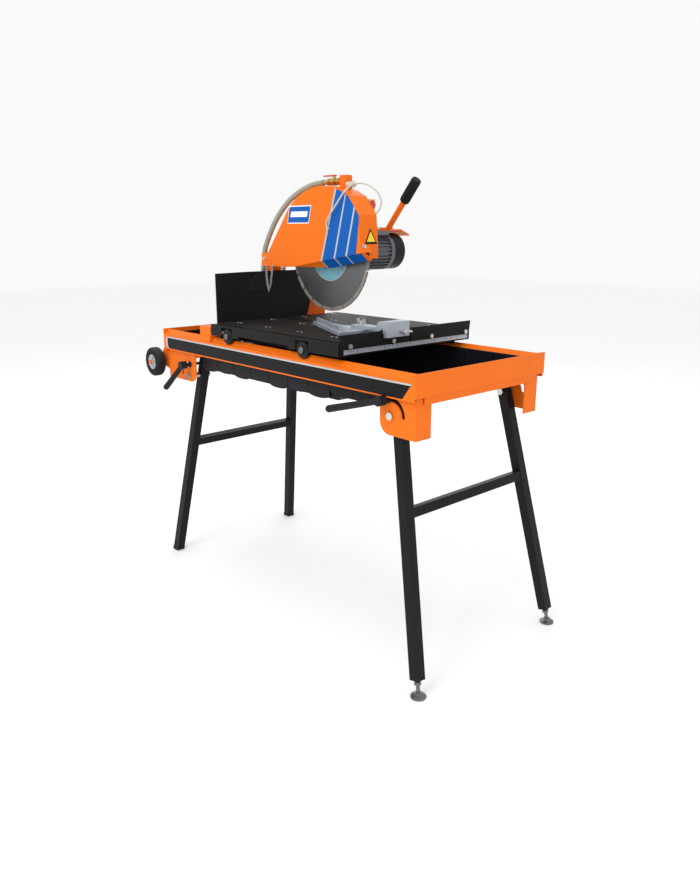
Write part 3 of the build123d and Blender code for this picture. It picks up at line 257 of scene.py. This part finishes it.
def tube(name, pts, radius, mat, body, closed=False, steps=10):
    """A round tube that follows points, with turned frames."""
    P = [Vector(p) for p in pts]
    n = len(P)
    verts, faces = [], []
    prev = None
    for i, p in enumerate(P):
        if closed:
            d = (P[(i + 1) % n] - P[i - 1]).normalized()
        else:
            d = (P[min(i + 1, n - 1)] - P[max(i - 1, 0)]).normalized()
        u = (prev - d * prev.dot(d)).normalized() if prev else d.orthogonal().normalized()
        prev = u
        v = d.cross(u)
        for k in range(steps):
            t = 2 * math.pi * k / steps
            verts.append(p + (u * math.cos(t) + v * math.sin(t)) * radius)
    for i in range(n if closed else n - 1):
        for k in range(steps):
            a, b = i * steps + k, i * steps + (k + 1) % steps
            c, e = ((i + 1) % n) * steps + (k + 1) % steps, ((i + 1) % n) * steps + k
            faces.append((a, b, c, e))
    if not closed:
        faces.append(tuple(reversed(range(steps))))
        faces.append(tuple((n - 1) * steps + k for k in range(steps)))
    return mesh(name, verts, faces, mat, body, smooth=True)


def hexbolt(name, at, axis, r, h, mat, body):
    a = Vector(axis).normalized()
    u = a.orthogonal().normalized()
    v = a.cross(u)
    pts = [Vector(at) + (u * math.cos(math.pi / 3 * i) + v * math.sin(math.pi / 3 * i)) * r for i in range(6)]
    lathe(name + "_washer", Vector(at), a, [(0, r * 1.35), (h * 0.2, r * 1.35)], mat, body, 24)
    return slab(name, [p + a * h * 0.2 for p in pts], a, h, mat, body)


# ---- blade guard: film, label and warning triangle -------------------------------------------------
def on_guard(name, xz, mat, lift=0.0004):
    """Film on the flat near face of the guard, from (x, z) points in millimetres."""
    return slab(name, [(x / 1000, GUARD_FACE_Y, z / 1000) for x, z in xz], (0, -1, 0), lift, mat, "head")


def belly(x):
    """Height of the guard's lower fold at x."""
    return 1024 + (x + 117) * 49 / 319


def crown(x):
    """Height of the guard's rim at x, drawn slightly in."""
    circle_x, circle_z, r = crown_circle
    if x <= 140:
        return circle_z + math.sqrt(r * r - (x - circle_x) ** 2) - 1.5
    if x <= 183:
        return 1226 + (x - 140) * (1175 - 1226) / 43 - 1.5
    return 1175 + (x - 183) * (1090 - 1175) / 8 - 1.5


def circle_through(a, b, c):
    d = 2 * (a[0] * (b[1] - c[1]) + b[0] * (c[1] - a[1]) + c[0] * (a[1] - b[1]))
    sa, sb, sc = (p[0] ** 2 + p[1] ** 2 for p in (a, b, c))
    x = (sa * (b[1] - c[1]) + sb * (c[1] - a[1]) + sc * (a[1] - b[1])) / d
    z = (sa * (c[0] - b[0]) + sb * (a[0] - c[0]) + sc * (b[0] - a[0])) / d
    return x, z, math.hypot(a[0] - x, a[1] - z)


crown_circle = circle_through((-132, 1199), (18, 1257), (140, 1226))


def band(name, top_left, top_right, low_left, low_right, mat, lift):
    """A stripe across the guard between two slanted edges, following the rim above and the fold below."""
    steps = 12
    up = [(top_left + (top_right - top_left) * i / steps) for i in range(steps + 1)]
    pts = [(x, crown(x)) for x in up] + [(low_right, belly(low_right)), (low_left, belly(low_left))]
    return on_guard(name, pts, mat, lift)


def lip_stripe(name, x_from, x_to, mat):
    """A stripe carried on across the folded lower lip of the guard."""
    run = Vector((319, 0, 49)).normalized()
    w = Vector((0, 22, -23))
    w = (w - run * w.dot(run)).normalized() * 31.6
    origin = Vector((0, -50.5, 1025))
    out = run.cross(w).normalized()
    if out.y > 0:
        out = -out
    pts = []
    for x, k in ((x_from, 0.02), (x_to, 0.02), (x_to + 2, 1.0), (x_from + 2, 1.0)):
        start = origin + Vector((x, 0, (x + 117) * 49 / 319))
        pts.append((start + w * k + out * 0.15) / 1000)
    return slab(name, pts, out, 0.0004, mat, "head")


lip_stripe("lip_stripe_silver_edge", 18, 25, MX["silver"])
lip_stripe("lip_stripe_blue_1", 25, 76, MX["blue"])
lip_stripe("lip_stripe_silver_1", 76, 83, MX["silver"])
lip_stripe("lip_stripe_blue_2", 83, 127, MX["blue"])
lip_stripe("lip_stripe_silver_2", 127, 134, MX["silver"])
lip_stripe("lip_stripe_blue_3", 134, 190, MX["blue"])
band("guard_stripe_silver_edge", 84, 90, 18, 25, MX["silver"], 0.0004)
band("guard_stripe_blue_1", 90, 126, 25, 76, MX["blue"], 0.0004)
band("guard_stripe_silver_1", 126, 131, 76, 83, MX["silver"], 0.0004)
band("guard_stripe_blue_2", 131, 163, 83, 127, MX["blue"], 0.0004)
band("guard_stripe_silver_2", 163, 168, 127, 134, MX["silver"], 0.0004)
band("guard_stripe_blue_3", 168, 184, 134, 172, MX["blue"], 0.0004)
on_guard("guard_label_edge", [(-139, 1153), (-126, 1205), (-22, 1205), (-35, 1153)], MX["white"], 0.0004)
on_guard("guard_label", [(-136, 1156), (-124.5, 1202), (-25, 1202), (-36.5, 1156)], MX["blue"], 0.0007)
on_guard("guard_label_bar", [(-122, 1172), (-117, 1188), (-38, 1188), (-43, 1172)], MX["white"], 0.0009)

def rim_triangle(name, half, mat, lift):
    """A plain warning triangle on the front face of the rim, point up."""
    mid_y, mid_z = -0.012, 1.114
    yz = [(mid_y - half, mid_z - half * 0.75), (mid_y + half, mid_z - half * 0.75), (mid_y, mid_z + half)]
    pts = [(RIM_X + (z - 1.090) * RIM_SLOPE, y, z) for y, z in yz]
    return slab(name, pts, Vector(RIM_NORMAL).normalized(), lift, mat, "head")


rim_triangle("rim_triangle_border", 0.0240, MX["black"], 0.0008)
rim_triangle("rim_triangle", 0.0165, MX["yellow"], 0.0013)

# ---- rails: black band with a silver line, both sides --------------------------------------------
for side, tag in SIDES:
    y = side * RAIL_FACE_Y

    def rail(name, xz, mat, lift):
        pts = [(a / 1000, y, b / 1000) for a, b in xz]
        return slab("rail_" + tag + "_" + name, pts, (0, side, 0), lift, mat, "frame")

    rail("band", [(-546, 746), (560, 746), (590, 786), (-546, 786), (-556, 778), (-556, 754)],
         MX["black"], 0.0005)
    rail("silver", [(-548, 781.5), (586.6, 781.5), (590, 786), (-546, 786)], MX["silver"], 0.0008)
    rail("silver_end", [(-556, 754), (-546, 746), (-540, 746), (-548, 755),
                        (-548, 779), (-541, 786), (-546, 786), (-556, 778)],
         MX["silver"], 0.0009)

# ---- front brackets: the end faces carried up behind the end panel --------------------------------
for side, tag in SIDES:
    outer, inner = side * 0.2449, side * 0.1914
    pts = [(0.589, outer, 0.6445), (0.589, inner, 0.6445), (0.589, inner, 0.7500), (0.589, outer, 0.7500)]
    slab("bracket_end_face_" + tag, pts, (1, 0, 0), 0.0034, M["frame_orange"], "frame")

# ---- tank: moulded bulges along the lower edge and ribs inside ------------------------------------
for side, tag in SIDES:
    for k in range(9):
        x = -340 + 92 * k
        low = (689.0 if x < 290 else 703.0) + (0, 4, 1, 6)[k % 4]
        r = 45
        pts = [(x + r, 741), (x - r, 741)]
        for i in range(13):
            t = math.pi + math.pi * i / 12
            pts.append((x + r * (math.cos(t) * 0.8 + math.copysign(0.2, math.cos(t)) * abs(math.cos(t)) ** 0.5),
                        low + 11 + 11 * math.sin(t)))
        slab("tank_bulge_%s_%02d" % (tag, k), [(a / 1000, side * 0.2150, b / 1000) for a, b in pts],
             (0, side, 0), 0.0125, M["tank_black"], "frame")
    for k in range(22):
        x = -500 + 50 * k
        low = 0.757 if x < -370 or x > 430 else 0.712
        pts = [(x - 8, 794), (x + 8, 794), (x + 5, low * 1000), (x - 5, low * 1000)]
        slab("tank_inner_rib_%s_%02d" % (tag, k), [(a / 1000, side * 0.2179, b / 1000) for a, b in pts],
             (0, -side, 0), 0.0045, M["tank_black"], "frame")

# ---- rule marks ----------------------------------------------------------------------------------
lo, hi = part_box("ruler_strip")
for i in range(-24, 25):
    long = 0.0085 if i % 5 == 0 else 0.005
    left, right = i / 100 - 0.0006, i / 100 + 0.0006
    pts = [(hi.x, left, hi.z), (hi.x, right, hi.z), (hi.x, right, hi.z - long), (hi.x, left, hi.z - long)]
    slab("rule_mark_%02d" % (i + 24), pts, (1, 0, 0), 0.0003, MX["black"], "cart")

# ---- blade: printed disc, slots and segment faces ------------------------------------------------
segs = 21
for side in (-1, 1):
    v, f = [], []
    for k in range(segs):
        a0 = 2 * math.pi * k / segs + 0.012
        a1 = 2 * math.pi * (k + 1) / segs - 0.012
        base = len(v)
        m = 8
        for i in range(m + 1):
            a = a0 + (a1 - a0) * i / m
            for r in (0.1635, 0.1745):
                v.append((r * math.cos(a), side * 0.0018, ARBOR_Z + r * math.sin(a)))
        for i in range(m):
            f.append((base + 2 * i, base + 2 * i + 1, base + 2 * i + 3, base + 2 * i + 2))
    mesh("blade_segments_%s" % ("near" if side < 0 else "far"), v, f, MX["segment"], "rotor")
lathe("blade_disc_print", (0, -0.0013, ARBOR_Z), (0, -1, 0), [(0, 0.0825), (0.0004, 0.0825)],
      MX["disc"], "rotor", 72)
lathe("blade_disc_ring", (0, -0.0013, ARBOR_Z), (0, -1, 0), [(0, 0.0850), (0.00025, 0.0850)],
      MX["silver"], "rotor", 72)

# ---- handle grip: moulded rings -------------------------------------------------------------
g0 = Vector((0.040, 0.205, 1.137))
g1 = Vector((0.160, 0.205, 1.280))
gd = (g1 - g0).normalized()
for k in range(9):
    at = g0 + gd * (0.115 + k * 0.0075)
    lathe("grip_ring_%d" % k, at - gd * 0.002, gd,
          [(0, 0.0150), (0.001, 0.0158), (0.003, 0.0158), (0.004, 0.0150)], M["rubber"], "head", 32)

# ---- lift spring as a wound coil -----------------------------------------------------------------
lo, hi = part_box("lift_spring")
turns, per = 26, 14
cx, cy = (lo.x + hi.x) / 2, (lo.y + hi.y) / 2
pts = []
for i in range(turns * per + 1):
    t = 2 * math.pi * i / per
    z = lo.z + 0.003 + (hi.z - lo.z - 0.006) * i / (turns * per)
    pts.append((cx + 0.0108 * math.cos(t), cy + 0.0108 * math.sin(t), z))
coil = tube("lift_spring_coil", pts, 0.0022, M["steel"], "frame", steps=8)
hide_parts("lift_spring")

# ---- chain ----------------------------------------------------------------------------------------
route = [(-247, 1026), (-250, 1008), (-249, 986), (-245, 964), (-238, 946),
         (-230, 962), (-225, 982), (-220, 1004), (-216, 1026)]
line = [Vector((x / 1000, CHAIN_Y, z / 1000)) for x, z in route]
total = sum((b - a).length for a, b in zip(line, line[1:]))
count = 25
v_all, f_all = [], []
for k in range(count):
    want = total * (k + 0.5) / count
    for a, b in zip(line, line[1:]):
        if want <= (b - a).length:
            at = a + (b - a).normalized() * want
            d = (b - a).normalized()
            break
        want -= (b - a).length
    side = Vector((0, 1, 0)) if k % 2 else d.cross(Vector((0, 1, 0))).normalized()
    other = d.cross(side)
    ring = []
    for i in range(14):
        t = 2 * math.pi * i / 14
        ring.append(at + d * 0.0056 * math.cos(t) + side * 0.0028 * math.sin(t))
    base = len(v_all)
    for i in range(14):
        c = ring[i]
        e = (ring[(i + 1) % 14] - ring[i - 1]).normalized()
        w = e.cross(other).normalized()
        for j in range(6):
            u = 2 * math.pi * j / 6
            v_all.append(c + (w * math.cos(u) + other * math.sin(u)) * 0.0011)
    for i in range(14):
        for j in range(6):
            f_all.append((base + i * 6 + j, base + i * 6 + (j + 1) % 6,
                          base + ((i + 1) % 14) * 6 + (j + 1) % 6, base + ((i + 1) % 14) * 6 + j))
chain = mesh("safety_chain_links", v_all, f_all, MX["links"], "head", smooth=True)
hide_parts("safety_chain")

# ---- fasteners on the guard and motor -------------------------------------------------------------
hexbolt("guard_rim_bolt", (0.1913, -0.040, 1.088), (1, 0, 0.094), 0.0055, 0.005, M["zinc"], "head")
hexbolt("guard_heel_bolt", (-0.262, -0.0522, 1.046), (0, -1, 0), 0.005, 0.004, M["zinc"], "head")
for i, (x, yy) in enumerate(((-0.045, 0.12), (0.045, 0.12), (-0.045, 0.17), (0.045, 0.17))):
    hexbolt("motor_bolt_%d" % i, (x - 0.01, yy, 1.137), (0, 0, 1), 0.0065, 0.006, M["zinc"], "head")

# ---- transport wheels: hub bolts --------------------------------------------------------------------
for side, tag in SIDES:
    body = "transport_wheel_" + tag
    hub_lo, hub_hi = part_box("transport_hub_" + tag)
    face = hub_lo.y if side < 0 else hub_hi.y
    for k in range(5):
        a = 2 * math.pi * k / 5
        hexbolt("hub_bolt_%s_%d" % (tag, k), (HUB_X + 0.0165 * math.cos(a), face, HUB_Z + 0.0165 * math.sin(a)),
                (0, side, 0), 0.0028, 0.0015, M["zinc"], body)

# ---- cart wheels: outer rims and caps ---------------------------------------------------------------
for end, x in (("rear", -0.183), ("front", 0.181)):
    for side, tag in SIDES:
        body = "wheel_%s_%s" % (end, tag)
        lathe("cart_wheel_rim_%s_%s" % (end, tag), (x, side * 0.2535, CART_WHEEL_Z), (0, side, 0),
              [(0, 0.0230), (0.0020, 0.0236), (0.0042, 0.0225), (0.0046, 0.0180), (0.0034, 0.0165),
               (0.0034, 0.0115)],
              M["black_plastic"], body, 48)
        lathe("cart_wheel_cap_%s_%s" % (end, tag), (x, side * 0.2580, CART_WHEEL_Z), (0, side, 0),
              [(0, 0.0095), (0.0052, 0.0095), (0.0066, 0.0080), (0.0070, 0.0040)], MX["foot"], body, 32)

# ---- floor, light and camera ----------------------------------------------------------------------
floor_mat = material("floor", (0.96, 0.96, 0.96), 0.85, vary=0.01, bump=0.0, grain=4)
d = bpy.data.meshes.new("floor")
R = 14.0
d.from_pydata([(-R, -R, -0.0006), (R, -R, -0.0006), (R, R, -0.0006), (-R, R, -0.0006)], [], [(0, 1, 2, 3)])
floor = bpy.data.objects.new("floor", d)
bpy.context.scene.collection.objects.link(floor)
d.materials.append(floor_mat)

world = bpy.data.worlds.new("studio")
bpy.context.scene.world = world
world.use_nodes = True
world.node_tree.nodes["Background"].inputs["Color"].default_value = (1, 1, 1, 1)
world.node_tree.nodes["Background"].inputs["Strength"].default_value = 0.95


def area(name, at, look, size, power):
    li = bpy.data.lights.new(name, "AREA")
    li.shape = "RECTANGLE"
    li.size, li.size_y = size
    li.energy = power
    o = bpy.data.objects.new(name, li)
    o.location = at
    o.rotation_euler = (Vector(look) - Vector(at)).to_track_quat("-Z", "Y").to_euler()
    bpy.context.scene.collection.objects.link(o)


area("key", (0.6, -3.2, 3.2), (0, 0, 0.8), (2.0, 1.6), 52)
area("fill", (3.0, -2.4, 1.9), (0.1, 0, 0.8), (1.6, 1.6), 16)
area("back", (-2.2, 2.6, 2.8), (0, 0, 0.9), (2.2, 1.6), 20)
area("top", (0.0, 0.0, 4.0), (0, 0, 0.8), (3.0, 3.0), 18)

bpy.context.scene.view_settings.view_transform = "Standard"
cam_data = bpy.data.cameras.new("camera")
cam_data.lens = 31.3
cam_data.sensor_width = 36.0
cam = bpy.data.objects.new("camera", cam_data)
cam.location = (1.7722, -1.5272, 1.1283)
cam.rotation_euler = (math.radians(75.0), 0.0, math.radians(47.77))
bpy.context.scene.collection.objects.link(cam)
bpy.context.scene.camera = cam
